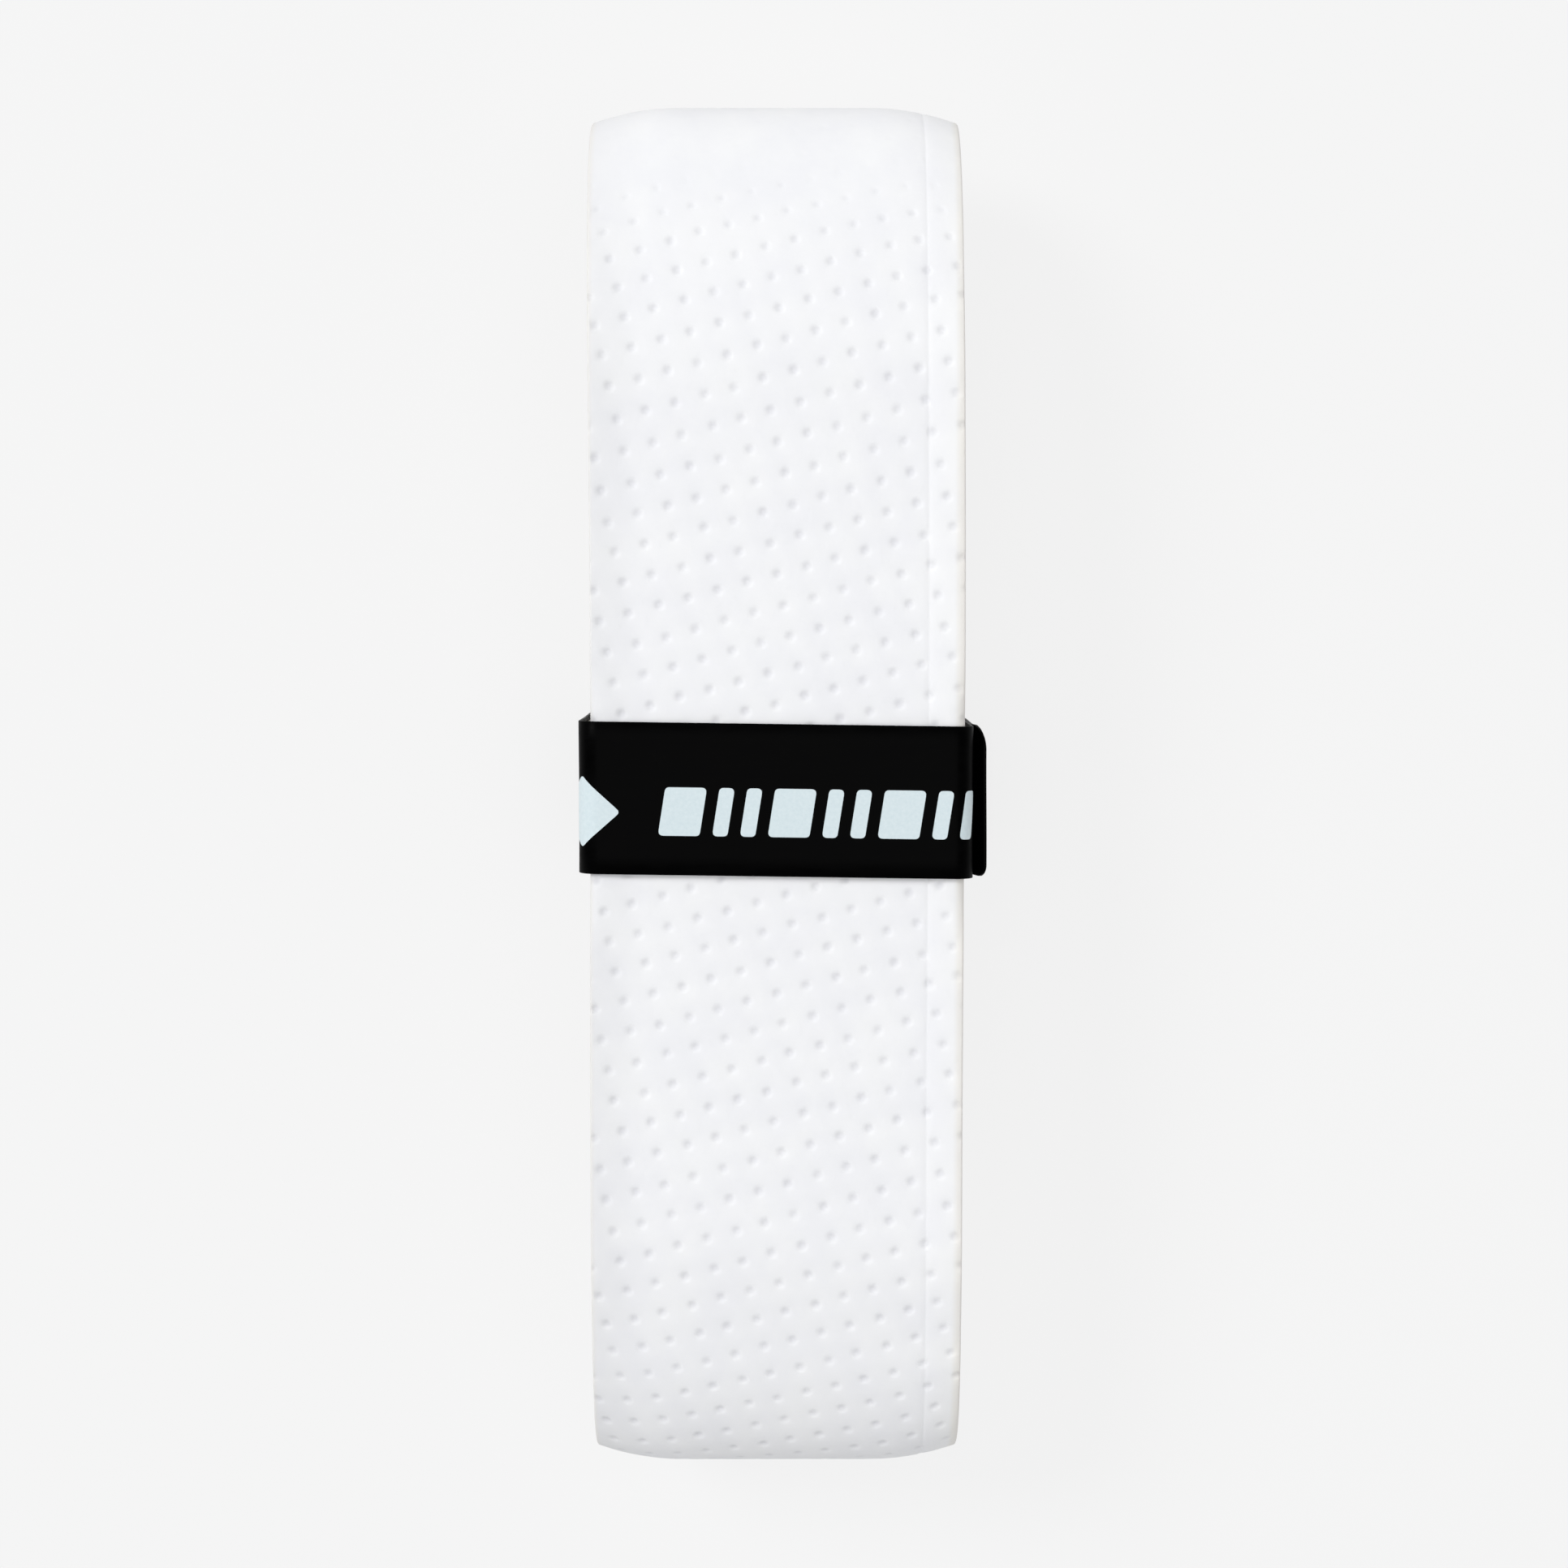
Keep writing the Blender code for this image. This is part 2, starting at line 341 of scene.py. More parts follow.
def wound(shape, name):
    """The flat shape's mesh, wound up."""
    mesh = mesh_of(name, shape)
    move_to(mesh, on_roll(coordinates(mesh)))
    return mesh


# ---------------------------------------------------------------- the strip


def dimple_cell():
    """One cell of the skin about its dimple: its points (x, s), each one's pit share, and its faces."""
    thirds = np.array([-1, -1 / 3, 1 / 3]) / 2
    half = np.full(3, 0.5)
    u = np.concatenate([half, -thirds, -half, thirds])
    v = np.concatenate([thirds, half, -thirds, -half])
    border = u[:, None] * DIMPLE_ROW + v[:, None] * DIMPLE_COLUMN
    outward = border / np.linalg.norm(border, axis=1)[:, None]
    around = len(border)
    points = [np.zeros((1, 2))] + [radius * outward for radius in DIMPLE_RINGS] + [border]
    radii = [0.0] + [radius for radius in DIMPLE_RINGS for _ in range(around)] + [np.inf] * around
    pit = np.exp(-((np.array(radii) / DIMPLE_RADIUS) ** DIMPLE_PROFILE))
    faces = [(0, 1 + k, 1 + (k + 1) % around) for k in range(around)]
    for ring in range(len(DIMPLE_RINGS)):
        inner = 1 + ring * around
        outer = inner + around
        for k in range(around):
            after = (k + 1) % around
            faces.append((inner + k, outer + k, outer + after, inner + after))
    return np.concatenate(points), pit, faces


def roll_y(s):
    """How far along the roll the strip's outer face lies, at places along the strip."""
    return np.interp(s, PATH_S, PATH[:, 0] + PATH[:, 2] * STRIP_THICKNESS)


def drawn(s):
    """How far the skin, with its dimples, is drawn along the strip at places along it."""
    y = roll_y(s)
    out = smooth_step((np.abs(y) - DRAWN_FROM) / (DRAWN_TO - DRAWN_FROM))
    back = smooth_step((np.abs(y) - DRAWN_BACK_FROM) / (DRAWN_BACK_TO - DRAWN_BACK_FROM))
    return DRAWN_OUT * np.sign(y) * (out - back)


def dimpled_sheet(shape, from_s, to_s):
    """Adds the flat dimpled skin between two places along the strip, cut square."""
    points, pit, cell_faces = dimple_cell()
    origin = np.array([DIMPLE_ORIGIN[0], place_at(DIMPLE_ORIGIN[1] - MIDDLE[1], LAST_HEIGHT, 1)])
    reach = int((to_s - from_s) / DIMPLE_COLUMN[1])
    rng = np.random.default_rng(seed=7)
    dimple = pit[:, None] > 0
    co, faces, shares = [], [], []
    margin = 2.0
    count = 0
    for j in range(-reach, reach):
        for i in range(-reach, reach):
            centre = origin + i * DIMPLE_ROW + j * DIMPLE_COLUMN
            if abs(centre[0]) > HALF_WIDTH + margin or not from_s - margin < centre[1] < to_s + margin:
                continue
            past = roll_y(centre[1]) - STRETCHED_FROM
            stretched = smooth_step(past / (STRETCHED_TO - STRETCHED_FROM))
            share = pit * rng.uniform(*DIMPLE_SHARES) * (1 - STRETCHED_FADE * stretched)
            shift = rng.normal(0.0, DIMPLE_SCATTER, 2) * dimple
            flat = centre + points + shift
            flat[:, 1] += drawn(flat[:, 1])
            co.append(np.column_stack([flat, -DIMPLE_DEPTH * share]))
            shares.append(share)
            faces += [tuple(count + k for k in face) for face in cell_faces]
            count += len(points)
    mesh = bpy.data.meshes.new("cells")
    mesh.from_pydata(np.concatenate(co).tolist(), [], faces)
    mesh.attributes.new("pit", "FLOAT", "POINT").data.foreach_set("value", np.concatenate(shares))
    shape.from_mesh(mesh)
    bpy.data.meshes.remove(mesh)
    bmesh.ops.remove_doubles(shape, verts=shape.verts, dist=WELD)
    side = HALF_WIDTH - SKIN_EDGE_ROUND
    cuts = [
        ((-side, 0, 0), (-1, 0, 0), True),
        ((side, 0, 0), (1, 0, 0), True),
        ((0, from_s, 0), (0, -1, 0), True),
        ((0, to_s, 0), (0, 1, 0), True),
    ]
    for offset in (-1, -0.5, 0, 0.5, 1):
        cuts.append(((CREASE_X + offset * CREASE_HALF_WIDTH, 0, 0), (1, 0, 0), False))
    for point, normal, clear in cuts:
        bmesh.ops.bisect_plane(
            shape,
            geom=[*shape.verts, *shape.edges, *shape.faces],
            dist=CUT_SLACK,
            plane_co=point,
            plane_no=normal,
            clear_outer=clear,
        )


def columns(reach):
    """Places across the strip, close enough together for the crown and the crease."""
    crease = [CREASE_X - CREASE_HALF_WIDTH, CREASE_X, CREASE_X + CREASE_HALF_WIDTH]
    inner = [INNER_COLUMN, *crease, OUTER_COLUMN]
    half = [CROWN_FLAT] + [x for x in inner if x < reach] + [reach]
    return [-x for x in reversed(half)] + half


def add_rows(shape, xs, ss, h):
    """A grid of vertices, one row for each place along the strip, with its faces."""
    rows = [[shape.verts.new((x, s, h)) for x in xs] for s in ss]
    for near, far in zip(rows, rows[1:]):
        for k in range(len(xs) - 1):
            shape.faces.new((near[k], near[k + 1], far[k + 1], far[k]))
    return rows


def layer_places(until):
    """Places along the strip for a plain layer: close together round the ends, wide apart between."""
    coarse = lengths_along(winding(nose_steps=30, flat_step=3.0))
    inside = coarse * (TIP_S / coarse[-1])
    room = 0.5
    return [0.0, *[s for s in inside if room < s < until - room], until]


def extruded_rim(shape, rim, grow_x, grow_s, drop):
    """The rim drawn outwards across the strip and along it, and down, as a new band of faces."""
    side = max(v.co.x for e in rim for v in e.verts)
    low = min(v.co.y for e in rim for v in e.verts)
    high = max(v.co.y for e in rim for v in e.verts)
    made = bmesh.ops.extrude_edge_only(shape, edges=rim)["geom"]
    slack = 0.01
    for v in (g for g in made if isinstance(g, bmesh.types.BMVert)):
        if abs(v.co.x) > side - slack:
            v.co.x += math.copysign(grow_x, v.co.x)
        if v.co.y < low + slack:
            v.co.y -= grow_s
        if v.co.y > high - slack:
            v.co.y += grow_s
        v.co.z -= drop
    return [g for g in made if isinstance(g, bmesh.types.BMEdge) and g.is_boundary]


def close_underneath(shape, rim, side, h):
    """Closes the skin's inner face inside its rim, on rows that follow the winding."""
    edge_verts = list({v for e in rim for v in e.verts})
    low = min(v.co.y for v in edge_verts)
    high = max(v.co.y for v in edge_verts)
    inset = 0.4
    ss = [s for s in layer_places(high) if low + inset < s < high - inset]
    rows = add_rows(shape, columns(side - inset), ss, h)
    slack = 0.002
    for sign, column in ((-1, 0), (1, -1)):
        chain = [v for v in edge_verts if abs(v.co.x - sign * side) < slack]
        zip_rows(shape, chain, [row[column] for row in rows], lambda v: v.co.y)
    for place, row in ((low, rows[0]), (high, rows[-1])):
        chain = [v for v in edge_verts if abs(v.co.y - place) < slack]
        zip_rows(shape, chain, row, lambda v: v.co.x)


def grip_skin(finish):
    """The white skin: dimpled over the outermost turn, and plain where other turns cover it."""
    shape = bmesh.new()
    side = HALF_WIDTH - SKIN_EDGE_ROUND
    above_tail = place_at(TAIL_Y, LAST_HEIGHT - PITCH, -1)
    from_s = above_tail - DIMPLED_BEFORE
    dimpled_sheet(shape, from_s, END_S - SKIN_EDGE_ROUND)
    slack = 0.001
    first_row = [v for v in shape.verts if abs(v.co.y - from_s) < slack]
    room = 1.0  # for the triangles between the plain rows and the dimpled ones
    plain = [s for s in layer_places(from_s) if s < from_s - room]
    plain[0] = SKIN_EDGE_ROUND
    rows = add_rows(shape, columns(side), plain, 0.0)
    zip_rows(shape, rows[-1], first_row, lambda v: v.co.x)
    rim = [e for e in shape.edges if e.is_boundary]
    turned = [math.radians(degrees) for degrees in SKIN_EDGE_STEPS]
    for before, after in zip(turned, turned[1:]):
        grow = SKIN_EDGE_ROUND * (math.sin(after) - math.sin(before))
        drop = SKIN_EDGE_ROUND * (math.cos(before) - math.cos(after))
        rim = extruded_rim(shape, rim, grow, grow, drop)
    rim = extruded_rim(shape, rim, 0.0, 0.0, SKIN_THICKNESS - SKIN_EDGE_ROUND)
    close_underneath(shape, rim, HALF_WIDTH, -SKIN_THICKNESS)
    mesh = wound(shape, "grip_skin_shown")
    return shown("grip_skin_shown", mesh, finish, "roll", ["grip_skin"])


def ribbon(name, section_at, places):
    """A layer of the strip lofted along places. section_at(s) is its section there, as (x, h) points."""
    shape = bmesh.new()
    loops = [[shape.verts.new((x, s, h)) for x, h in section_at(s)] for s in places]
    loft(shape, loops)
    return wound(shape, name)


def cushion_section(_s):
    """The cushion across the strip: skived towards both edges, with its corners worn round."""
    top = -SKIN_THICKNESS - BOND_GAP
    base = top - CUSHION_THICKNESS
    low = top - SKIVED_EDGE
    worn = CUSHION_WORN
    over = [(x, top) for x in columns(HALF_WIDTH - worn)]
    right = [(HALF_WIDTH, top - worn), (HALF_WIDTH, low + worn), (HALF_WIDTH - worn, low)]
    skived = [(MARGIN_X + SKIVE_WORN_OUT, base + worn), (MARGIN_X - SKIVE_WORN_IN, base)]
    back = [*skived, (INNER_COLUMN, base), (CROWN_FLAT, base)]
    mirrored = [(-x, h) for x, h in reversed(right + back)]
    return over + right + back + mirrored


def plain_section(half, top, thickness):
    """A thin layer across the strip, as (x, h) points."""
    return [(-half, top - thickness), (-half, top), (half, top), (half, top - thickness)]


def grip_cushion(finish):
    """The cushion, bonded under the skin."""
    mesh = ribbon("grip_cushion_shown", cushion_section, layer_places(END_S))
    return shown("grip_cushion_shown", mesh, finish, "roll", ["grip_cushion"])


def adhesive_strip(finish):
    """The adhesive down the middle of the cushion's back."""
    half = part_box("adhesive_strip")[1].x / MM - MIDDLE[0]
    top = -SKIN_THICKNESS - CUSHION_THICKNESS - 2 * BOND_GAP
    section = plain_section(half, top, ADHESIVE_THICKNESS)
    mesh = ribbon("adhesive_strip_shown", lambda _s: section, layer_places(END_S))
    return shown("adhesive_strip_shown", mesh, finish, "roll", ["adhesive_strip"])


def release_liner(finish):
    """The liner, whose pull tab has round corners and droops a little."""
    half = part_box("release_liner")[1].x / MM - MIDDLE[0]
    top = LINER_THICKNESS - STRIP_THICKNESS

    def section(s):
        past = max(0.0, s - END_S)
        droop = TAB_DROOP * (past / PULL_TAB) ** 2
        return plain_section(half - cut_back(TIP_S - s, TAB_CORNER), top + droop, LINER_THICKNESS)

    tab = [END_S + PULL_TAB * k / 6 for k in range(1, 4)]
    tip = corner_places(TIP_S, TAB_CORNER, steps=9)
    places = [*layer_places(END_S), *tab, *tip, TIP_S - 0.01]
    mesh = ribbon("release_liner_shown", section, places)
    return shown("release_liner_shown", mesh, finish, "roll", ["release_liner"])


# ---------------------------------------------------------------- the finishing tape


def tape_corner(centre_x, centre_z, from_degrees, growth=0.0):
    """Stations of a quarter circle round one corner of the roll, whose radius grows by growth."""
    share = np.arange(TAPE_CORNER_STEPS + 1) / TAPE_CORNER_STEPS
    angle = np.radians(from_degrees + 90 * share)
    nx, nz = np.cos(angle), np.sin(angle)
    radius = TAPE_CORNER + growth * share
    return np.stack([centre_x + radius * nx, centre_z + radius * nz, nx, nz], 1)


def tape_path():
    """Stations (x, z, normal x, normal z) of the tape liner's inner face, and how far along each is."""
    cx = TAPE_HALF_WIDTH - TAPE_CORNER
    cz = TAPE_HALF_HEIGHT - TAPE_CORNER
    outer = TAPE_HALF_WIDTH + SEAM_STEP
    top = TAPE_HALF_HEIGHT - TAPE_END_BELOW_TOP
    start = [[TAPE_HALF_WIDTH, TAPE_START_ABOVE_BASE - TAPE_HALF_HEIGHT, 1.0, 0.0]]
    share = np.linspace(0, 1, CURL_STATIONS)
    curl_x = outer + CURL_LIFT * share**2
    curl_z = top - CURL_LENGTH * (1 - share)
    curl = np.stack([curl_x, curl_z, np.ones(CURL_STATIONS), np.zeros(CURL_STATIONS)], 1)
    path = np.concatenate(
        [
            start,
            tape_corner(cx, cz, 0),
            tape_corner(-cx, cz, 90),
            tape_corner(-cx, -cz, 180),
            tape_corner(cx, -cz, 270, SEAM_STEP),
            curl,
        ]
    )
    outside = path[:, :2] + TAPE_STACK * path[:, 2:]
    along = np.concatenate([[0.0], np.cumsum(np.linalg.norm(np.diff(outside, axis=0), axis=1))])
    return path, along


TAPE_PATH, TAPE_U = tape_path()
TAPE_END_U = TAPE_U[-1]
TOP_RIGHT_U = TAPE_U[TAPE_CORNER_STEPS + 1]  # where the top face begins, after the first corner
BASE_RIGHT_U = TAPE_U[3 * TAPE_CORNER_STEPS + 4]  # where the underside ends, before the last one


def on_tape(flat):
    """Bends points (u along the tape, y across it, h above the liner's inner face) round the roll."""
    u, y, h = flat.T
    x, z, nx, nz = (np.interp(u, TAPE_U, column) for column in TAPE_PATH.T)
    size = np.hypot(nx, nz)
    x = x + h * nx / size
    z = z + h * nz / size
    along, across, aslant = TAPE_WAVES
    beside = np.abs(nx) > 0.99
    slack = TAPE_SLACK * np.sin(u / along) * np.sin(y / across + u / aslant) * beside
    x = x + slack * nx
    y = y - math.tan(TAPE_SKEW) * x
    return np.stack([x, y, z], 1) + [MIDDLE[0], 0.0, MIDDLE[2]]


def bent(shape, name):
    """The flat shape's mesh, bent round the roll. The bend mirrors it, so its faces are turned back."""
    mesh = mesh_of(name, shape)
    move_to(mesh, on_tape(coordinates(mesh)))
    mesh.flip_normals()
    return mesh


def tape_places(from_u, to_u, step=1.2):
    """Places along the tape: every station of its path, and more between them."""
    places = [from_u]
    for u in [*[u for u in TAPE_U if from_u < u < to_u], to_u]:
        count = max(1, math.ceil((u - places[-1]) / step))
        places += list(np.linspace(places[-1], u, count + 1)[1:])
    return places


def bent_layer(name, places, edges_at, base, thickness, bevel):
    """A layer of the finishing tape, closed, with fine bevels along both its long edges."""
    shape = bmesh.new()
    top = base + thickness
    loops = []
    for u in places:
        low, high = edges_at(u)
        upper = [(y, top) for y in np.linspace(low + bevel, high - bevel, TAPE_COLUMNS)]
        lower = [(y, base) for y in np.linspace(high, low, TAPE_COLUMNS)]
        section = [(low, top - bevel), *upper, (high, top - bevel), *lower]
        loops.append([shape.verts.new((u, y, h)) for y, h in section])
    loft(shape, loops)
    return bent(shape, name)


def finishing_tape(finish):
    """The black tape, whose outer end has rounded corners."""

    def edges_at(u):
        to_end = TAPE_END_U - u
        low = cut_back(to_end, TAPE_END_ROUND_LOW) - TAPE_WIDTH / 2
        return low, TAPE_WIDTH / 2 - cut_back(to_end, TAPE_END_ROUND_HIGH)

    end = corner_places(TAPE_END_U, TAPE_END_ROUND_HIGH, steps=15)
    places = tape_places(0.0, end[0]) + end[1:]
    base = TAPE_STACK - TAPE_THICKNESS
    mesh = bent_layer("finishing_tape_shown", places, edges_at, base, TAPE_THICKNESS, TAPE_BEVEL)
    return shown("finishing_tape_shown", mesh, finish, "band", ["finishing_tape"])


def tape_liner(finish):
    """The paper behind the tape, a little narrower than it, as far as the seam."""
    half = TAPE_WIDTH / 2 - TAPE_LINER_INSET
    edges = (-half, half)
    places = tape_places(0.0, BASE_RIGHT_U)
    thickness, bevel = TAPE_LINER_THICKNESS, TAPE_LINER_BEVEL
    mesh = bent_layer("tape_liner_shown", places, lambda _u: edges, 0.0, thickness, bevel)
    return shown("tape_liner_shown", mesh, finish, "band", ["finishing_tape_liner"])


# ---------------------------------------------------------------- the print on the tape


def rounded(corners, radius, steps=5):
    """A convex outline of these corners, anticlockwise, with each corner rounded."""
    outline = []
    count = len(corners)
    for k in range(count):
        here = np.array(corners[k])
        before = np.array(corners[k - 1]) - here
        after = np.array(corners[(k + 1) % count]) - here
        before = before / np.linalg.norm(before)
        after = after / np.linalg.norm(after)
        half = math.acos(np.clip(before @ after, -1, 1)) / 2
        reach = radius / math.tan(half)
        first, last = here + before * reach, here + after * reach
        for t in np.linspace(0, 1, steps + 1):
            outline.append((1 - t) ** 2 * first + 2 * t * (1 - t) * here + t**2 * last)
    return outline


def printed(name, outlines, finish):
    """Ink shapes on the tape's outer face, given as outlines of (x on the top face, y)."""
    shape = bmesh.new()
    middle_u = TOP_RIGHT_U + (TAPE_HALF_WIDTH - TAPE_CORNER)
    for outline in outlines:
        flat = [(middle_u - x, y) for x, y in outline]
        base = shape.faces.new([shape.verts.new((u, y, TAPE_STACK + PRINT_LIFT)) for u, y in flat])
        low, high = min(p[0] for p in flat), max(p[0] for p in flat)
        pieces = [base, *base.verts, *base.edges]
        for u in [u for u in tape_places(0.0, TAPE_END_U, PRINT_STEP) if low < u < high]:
            pieces = bmesh.ops.bisect_plane(
                shape, geom=pieces, dist=CUT_SLACK, plane_co=(u, 0, 0), plane_no=(1, 0, 0)
            )["geom"]
    made = bmesh.ops.extrude_face_region(shape, geom=list(shape.faces), use_keep_orig=True)["geom"]
    for v in (g for g in made if isinstance(g, bmesh.types.BMVert)):
        v.co.z += PRINT_THICKNESS
    return shown(name, bent(shape, name), finish, "band")


def stripe_print(finish):
    """Slanted bars in a row, one wide and then two narrow, that runs on over the right-hand corner."""
    wide, narrow, slant, gap = 3.0, 1.1, 0.55, 0.9
    low, high = -2.65, 0.85
    outlines = []
    x = -8.5
    for width in (wide, narrow, narrow) * 3:
        corners = [(x, low), (x + width, low), (x + width + slant, high), (x + slant, high)]
        outlines.append(rounded(corners, radius=0.35))
        x += width + gap
    return printed("tape_print_bars", outlines, finish)


def lozenge_print(finish):
    """A plain lozenge on the left-hand corner."""
    middle_x, middle_y, half_width, half_height = -14.1, -1.0, 2.9, 2.6
    corners = [
        (middle_x, middle_y - half_height),
        (middle_x + half_width, middle_y),
        (middle_x, middle_y + half_height),
        (middle_x - half_width, middle_y),
    ]
    return printed("tape_print_lozenge", [rounded(corners, radius=0.3)], finish)


# ---------------------------------------------------------------- materials


def shader_of(name, colour, roughness, **sockets):
    """A Principled material; sockets gives constant values by socket name, with _ for spaces."""
    made = bpy.data.materials.new(name)
    made.use_nodes = True
    shader = made.node_tree.nodes["Principled BSDF"]
    shader.inputs["Base Color"].default_value = (*colour, 1.0)
    shader.inputs["Roughness"].default_value = roughness
    for socket, value in sockets.items():
        shader.inputs[socket.replace("_", " ")].default_value = value
    return made, made.node_tree, shader


def noise(tree, scale, detail=2.0, rough=0.5, stretch=(1, 1, 1)):
    """A noise texture in the row frame; scale is in features per metre."""
    place = tree.nodes.new("ShaderNodeTexCoord")
    mapping = tree.nodes.new("ShaderNodeMapping")
    mapping.inputs["Scale"].default_value = stretch
    texture = tree.nodes.new("ShaderNodeTexNoise")
    texture.inputs["Scale"].default_value = scale
    texture.inputs["Detail"].default_value = detail
    texture.inputs["Roughness"].default_value = rough
    tree.links.new(place.outputs["Object"], mapping.inputs["Vector"])
    tree.links.new(mapping.outputs["Vector"], texture.inputs["Vector"])
    return texture.outputs["Fac"]


def ramp(tree, value, stops):
    """value turned into a colour by stops of (place, colour)."""
    node = tree.nodes.new("ShaderNodeValToRGB")
    while len(node.color_ramp.elements) > len(stops):
        node.color_ramp.elements.remove(node.color_ramp.elements[-1])
    while len(node.color_ramp.elements) < len(stops):
        node.color_ramp.elements.new(0.5)
    for element, (place, colour) in zip(node.color_ramp.elements, stops):
        element.position = place
        element.color = (*colour, 1.0)
    tree.links.new(value, node.inputs["Fac"])
    return node.outputs["Color"]


def ranged(tree, value, low, high, to_low, to_high):
    """value, mapped so that low becomes to_low and high becomes to_high."""
    node = tree.nodes.new("ShaderNodeMapRange")
    sockets = ("From Min", "From Max", "To Min", "To Max")
    for socket, number in zip(sockets, (low, high, to_low, to_high)):
        node.inputs[socket].default_value = number
    tree.links.new(value, node.inputs["Value"])
    return node.outputs["Result"]


def across_strip(tree):
    """0 at the strip's left edge and 1 at its right edge."""
    place = tree.nodes.new("ShaderNodeTexCoord")
    split = tree.nodes.new("ShaderNodeSeparateXYZ")
    tree.links.new(place.outputs["Object"], split.inputs["Vector"])
    return ranged(tree, split.outputs["X"], SKIN_LOW.x * MM, SKIN_HIGH.x * MM, 0.0, 1.0)


def product(tree, one, other):
    """Two colours multiplied."""
    node = tree.nodes.new("ShaderNodeVectorMath")
    node.operation = "MULTIPLY"
    tree.links.new(one, node.inputs[0])
    tree.links.new(other, node.inputs[1])
    return node.outputs["Vector"]


def bumped(tree, shader, height, strength, depth):
    """Roughens the surface by height, each 1 of which stands for this depth."""
    node = tree.nodes.new("ShaderNodeBump")
    node.inputs["Strength"].default_value = strength
    node.inputs["Distance"].default_value = depth * MM
    tree.links.new(height, node.inputs["Height"])
    tree.links.new(node.outputs["Normal"], shader.inputs["Normal"])


def summed(tree, one, other, share):
    """one plus other times share."""
    node = tree.nodes.new("ShaderNodeMath")
    node.operation = "MULTIPLY_ADD"
    node.inputs[1].default_value = share
    tree.links.new(other, node.inputs[0])
    tree.links.new(one, node.inputs[2])
    return node.outputs["Value"]


def white_skin():
    """White polyurethane, with painted shade greying its left margin and painted light whitening its
    right one, painted shade darkening its rims over a warm cut-edge tint, and painted shade in its pits.
    """
    made, tree, shader = shader_of(
        "white_polyurethane", (0.9, 0.905, 0.925), 0.5, Specular_IOR_Level=0.35
    )
    cloud = noise(tree, scale=260, detail=3)
    tone = ramp(tree, cloud, [(0.35, (0.915, 0.918, 0.942)), (0.65, (0.945, 0.948, 0.96))])
    # Painted light and shade across the strip, as light falls: the left margin is painted greyer and the
    # right margin past the crease is painted whiter. The rims are painted darker as shade where the edge
    # turns away, over a warm cut-edge tint.
    painted_light_and_edge_tint = [
        (0.0, (0.87, 0.85, 0.81)),
        (0.014, (0.90, 0.90, 0.90)),
        (0.08, (0.93, 0.93, 0.93)),
        (0.15, (0.963, 0.963, 0.963)),
        (0.895, (0.967, 0.967, 0.967)),
        (0.925, (0.978, 0.978, 0.978)),
        (0.975, (0.98, 0.98, 0.97)),
        (0.988, (0.93, 0.91, 0.86)),
        (1.0, (0.87, 0.84, 0.79)),
    ]
    margin_light_and_edge_tint = ramp(tree, across_strip(tree), painted_light_and_edge_tint)
    # Painted shade: the skin is painted darker in its pits, by each point's pit share.
    pits = tree.nodes.new("ShaderNodeAttribute")
    pits.attribute_name = "pit"
    pit_painted_shade = ramp(tree, pits.outputs["Fac"], [(0.3, (1.0, 1.0, 1.0)), (1.0, (0.89, 0.89, 0.9))])
    tree.links.new(product(tree, product(tree, tone, margin_light_and_edge_tint), pit_painted_shade), shader.inputs["Base Color"])
    grain = noise(tree, scale=5200, detail=3, rough=0.6)
    tree.links.new(ranged(tree, grain, 0.3, 0.7, 0.46, 0.6), shader.inputs["Roughness"])
    pebble = noise(tree, scale=1500)
    bumped(tree, shader, summed(tree, grain, pebble, 1.5), strength=0.35, depth=0.02)
    return made


def cushion_foam():
    """Foamed felt, whose fibres lie flat."""
    made, tree, shader = shader_of("foamed_felt", (0.66, 0.64, 0.6), 0.92, Specular_IOR_Level=0.15)
    fibre = noise(tree, scale=4200, detail=4, rough=0.7, stretch=(1, 1, 2.5))
    colour = ramp(tree, fibre, [(0.3, (0.52, 0.505, 0.465)), (0.7, (0.74, 0.725, 0.69))])
    tree.links.new(colour, shader.inputs["Base Color"])
    bumped(tree, shader, fibre, strength=0.7, depth=0.08)
    return made


def adhesive():
    """Tacky film, a little uneven."""
    made, tree, shader = shader_of("pressure_adhesive", (0.78, 0.74, 0.62), 0.3)
    film = noise(tree, scale=1400)
    colour = ramp(tree, film, [(0.3, (0.7, 0.655, 0.53)), (0.7, (0.82, 0.78, 0.66))])
    tree.links.new(colour, shader.inputs["Base Color"])
    bumped(tree, shader, film, strength=0.4, depth=0.03)
    return made


def liner_paper():
    """Coated paper, with long fibres."""
    made, tree, shader = shader_of("release_paper", (0.86, 0.85, 0.8), 0.55)
    fibre = noise(tree, scale=2600, detail=5, rough=0.65, stretch=(1, 0.35, 1))
    colour = ramp(tree, fibre, [(0.3, (0.8, 0.785, 0.72)), (0.7, (0.88, 0.87, 0.815))])
    tree.links.new(colour, shader.inputs["Base Color"])
    bumped(tree, shader, fibre, strength=0.4, depth=0.03)
    return made


def black_tape():
    """Satin black vinyl, with faint calender marks along it."""
    made, tree, shader = shader_of(
        "black_vinyl", (0.0006, 0.0006, 0.0007), 0.4, Specular_IOR_Level=0.02
    )
    calender = noise(tree, scale=1900, detail=3, rough=0.55, stretch=(0.25, 1, 1))
    tree.links.new(ranged(tree, calender, 0.3, 0.7, 0.34, 0.46), shader.inputs["Roughness"])
    colour = ramp(tree, calender, [(0.3, (0.0003, 0.0003, 0.0003)), (0.7, (0.0009, 0.0009, 0.001))])
    tree.links.new(colour, shader.inputs["Base Color"])
    bumped(tree, shader, calender, strength=0.3, depth=0.02)
    return made


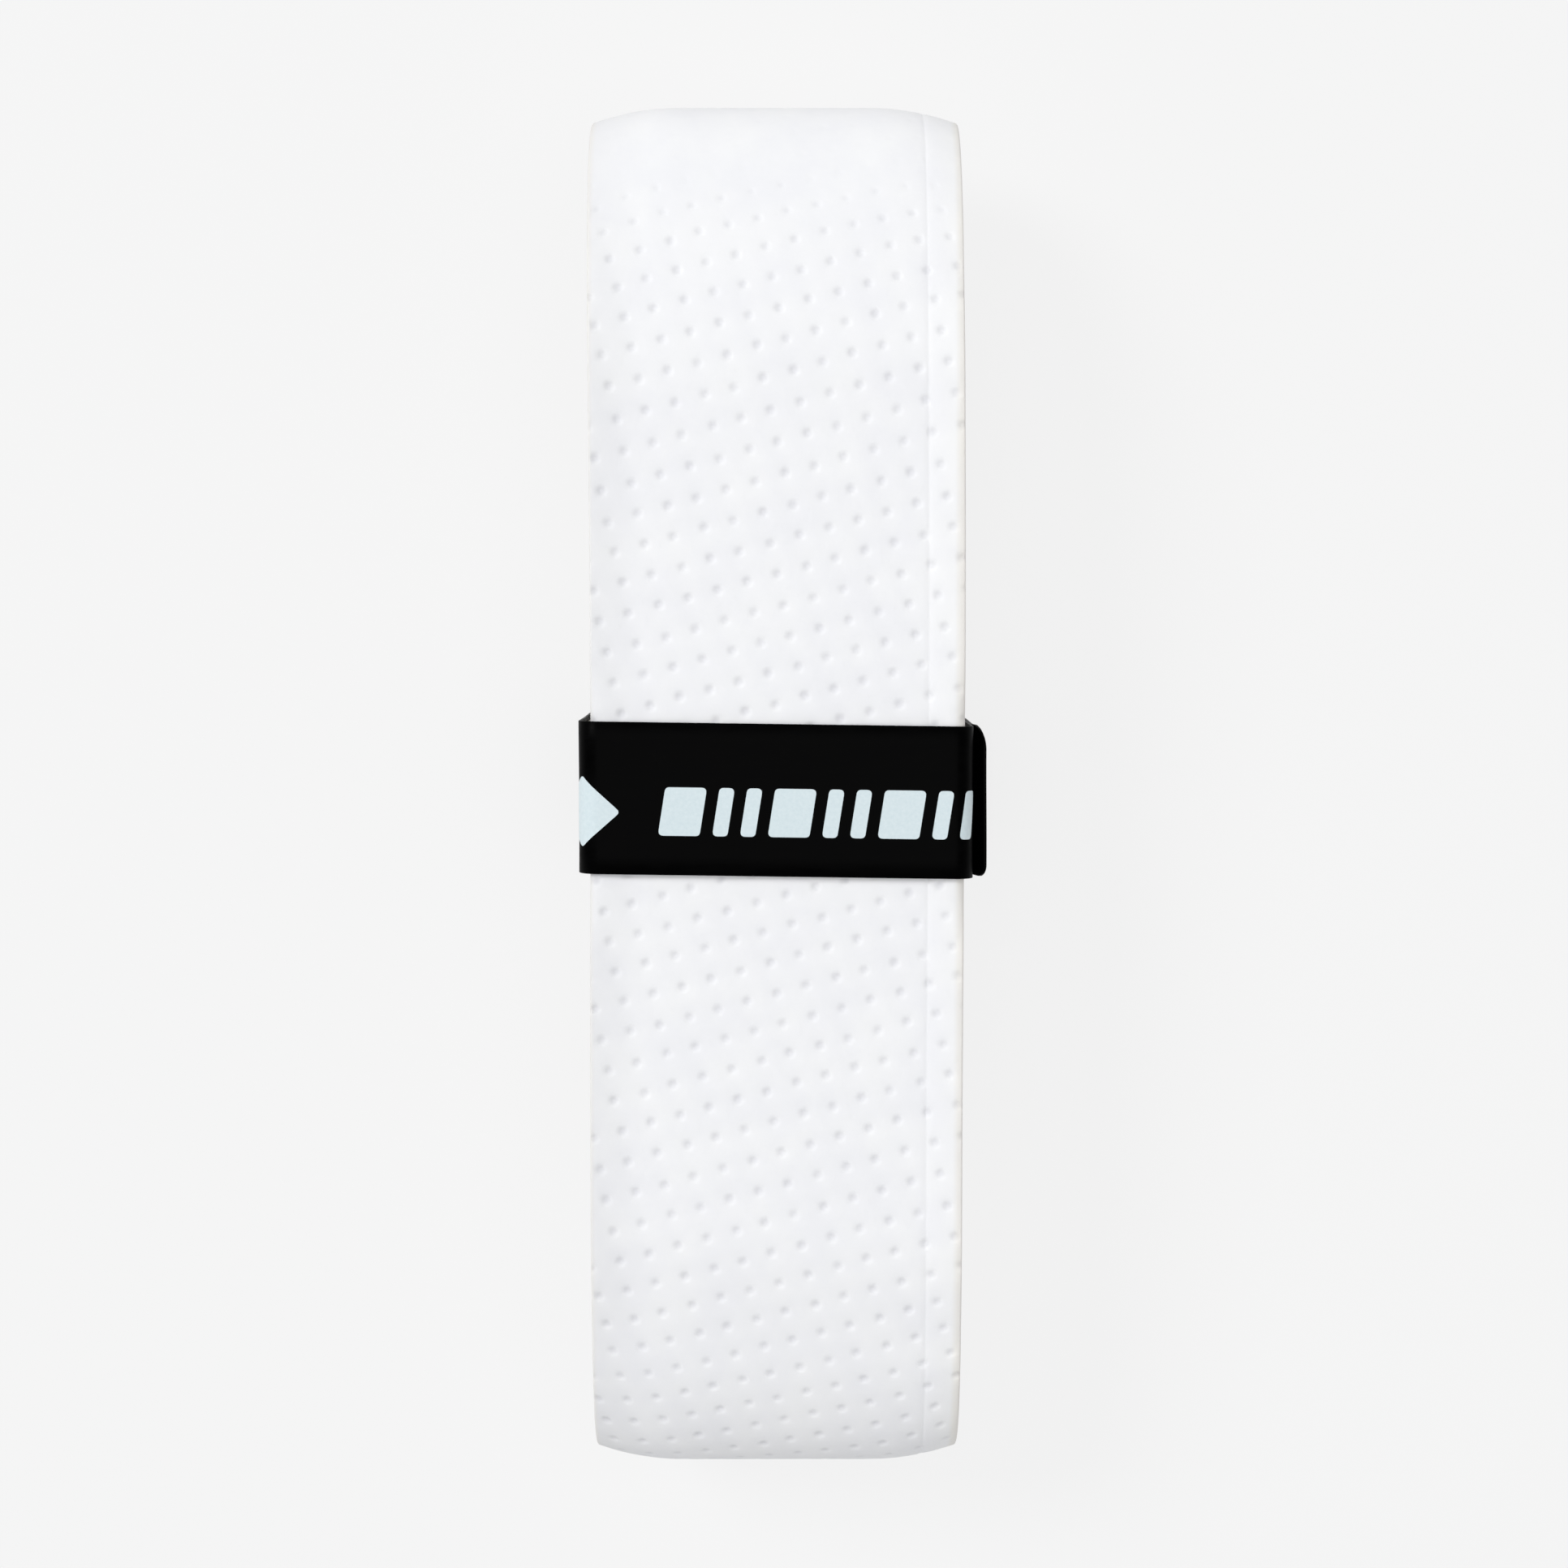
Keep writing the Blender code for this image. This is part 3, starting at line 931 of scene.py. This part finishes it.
def white_ink():
    """Pale screen-printed ink that covers a little unevenly."""
    made, tree, shader = shader_of("white_ink", (0.68, 0.78, 0.81), 0.45, Specular_IOR_Level=0.3)
    cover = noise(tree, scale=3800, detail=3, rough=0.6)
    colour = ramp(tree, cover, [(0.3, (0.64, 0.745, 0.78)), (0.7, (0.7, 0.795, 0.825))])
    tree.links.new(colour, shader.inputs["Base Color"])
    bumped(tree, shader, cover, strength=0.3, depth=0.01)
    return made


def floor_finish():
    """A pale floor that glows faintly, so that it stays even."""
    made, _tree, shader = shader_of("pale_board", (0.11, 0.11, 0.11), 0.9, Specular_IOR_Level=0.0)
    shader.inputs["Emission Color"].default_value = (1.0, 1.0, 1.0, 1.0)
    shader.inputs["Emission Strength"].default_value = FLOOR_GLOW
    return made


# ---------------------------------------------------------------- the stage


def floor(finish):
    """The floor that the roll lies on, which is no part of it."""
    half = FLOOR_SIZE / 2 * MM
    shape = bmesh.new()
    corners = [(-half, -half, 0), (half, -half, 0), (half, half, 0), (-half, half, 0)]
    shape.faces.new([shape.verts.new(c) for c in corners])
    mesh = mesh_of("floor", shape)
    mesh.materials.append(finish)
    made = bpy.data.objects.new("floor", mesh)
    bpy.context.scene.collection.objects.link(made)


def camera():
    """Looks down on the roll's upper face, with +Y up in the picture."""
    face = SKIN_HIGH.z
    back_y = CAMERA_DISTANCE * math.sin(CAMERA_LEAN)
    up_z = CAMERA_DISTANCE * math.cos(CAMERA_LEAN)
    place = Vector((MIDDLE[0], back_y, face + up_z))
    aim = Vector((MIDDLE[0] + CAMERA_AIM[0], CAMERA_AIM[1], face))
    data = bpy.data.cameras.new("camera")
    data.lens = CAMERA_LENS
    data.sensor_width = CAMERA_SENSOR
    data.clip_start = 0.01
    made = bpy.data.objects.new("camera", data)
    made.location = place * MM
    back = (place - aim).normalized()
    right = Vector((0, 1, 0)).cross(back).normalized()
    made.rotation_euler = Matrix((right, back.cross(right), back)).transposed().to_euler()
    bpy.context.scene.collection.objects.link(made)
    bpy.context.scene.camera = made


def area_light(name, place, size, power):
    """A round soft light at place, in metres, that faces the roll."""
    data = bpy.data.lights.new(name, "AREA")
    data.shape = "DISK"
    data.size = size
    data.energy = power
    made = bpy.data.objects.new(name, data)
    made.location = place
    made.rotation_euler = (-Vector(place)).to_track_quat("-Z", "Y").to_euler()
    bpy.context.scene.collection.objects.link(made)


def studio():
    """A grey room, paler where it meets the floor, with two soft lights."""
    world = bpy.data.worlds.new("studio")
    world.use_nodes = True
    tree = world.node_tree
    split = tree.nodes.new("ShaderNodeSeparateXYZ")
    tree.links.new(tree.nodes.new("ShaderNodeTexCoord").outputs["Generated"], split.inputs["Vector"])
    low = (HORIZON, HORIZON, HORIZON)
    high = (ROOM * 0.97, ROOM * 0.985, ROOM)
    sky = ramp(tree, split.outputs["Z"], [(0.05, low), (0.25, high)])
    tree.links.new(sky, tree.nodes["Background"].inputs["Color"])
    bpy.context.scene.world = world
    bpy.context.scene.view_settings.view_transform = "Standard"
    area_light("key", (-0.78, 0.55, 0.94), size=0.5, power=8.0)
    area_light("overhead", (0.1, 0.03, 1.3), size=1.2, power=7.5)


def main():
    """Makes the stage and the pieces."""
    camera()
    studio()
    floor(floor_finish())
    paper = liner_paper()
    ink = white_ink()
    skin = grip_skin(white_skin())
    cushion = grip_cushion(cushion_foam())
    glue = adhesive_strip(adhesive())
    liner = release_liner(paper)
    tape = finishing_tape(black_tape())
    tape_back = tape_liner(paper)
    bars = stripe_print(ink)
    lozenge = lozenge_print(ink)


main()
